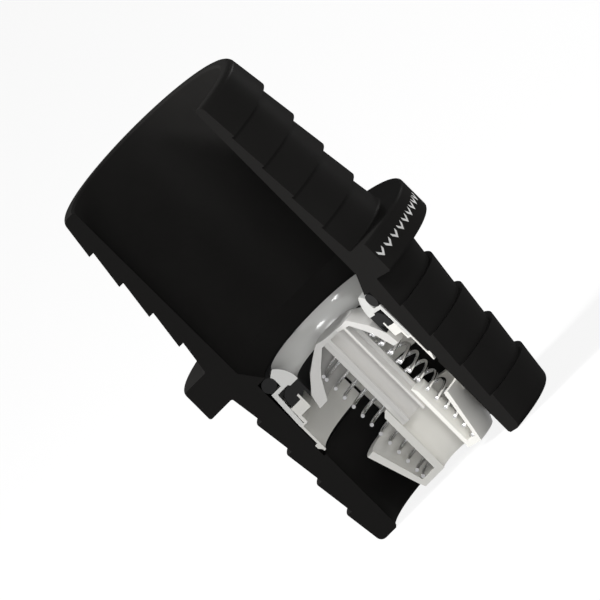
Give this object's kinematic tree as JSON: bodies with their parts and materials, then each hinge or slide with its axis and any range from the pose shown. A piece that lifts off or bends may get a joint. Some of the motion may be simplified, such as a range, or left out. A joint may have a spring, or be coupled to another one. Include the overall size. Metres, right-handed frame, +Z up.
{
  "type": "non-return valve",
  "caption": "Sectioned inline non-return valve with barbed hose tails, a round collar and a spring-loaded poppet cartridge that lets flow through one way.",
  "frame": {"origin": "on the valve's axis in the plane of the outlet end face", "axes": "+Z up the axis from the outlet end to the inlet end, against the flow; the wedge that is cut out faces -Y"},
  "size_m": [0.0492, 0.0365, 0.0737],
  "materials": {
    "black_body": "smooth moulded",
    "white_ring": "glossy moulded",
    "white_cage": "satin moulded",
    "white_poppet": "satin moulded",
    "black_rubber": "matte",
    "spring_wire": "bright drawn stainless wire"
  },
  "bodies": {
    "housing": {"body": "black_body", "inlet_ring": "white_ring", "o_ring": "black_rubber", "lip_seal": "black_rubber", "cage": "white_cage", "spring": "spring_wire"},
    "poppet": {"poppet": "white_poppet"}
  },
  "joints": [
    {"name": "poppet_lift", "type": "slide", "parent": "housing", "child": "poppet", "axis": [0, 0, -1], "range_m": [0, 0.0107], "stiffness_N_per_m": 60, "springref_m": -0.01, "deforming": ["spring"]}
  ]
}
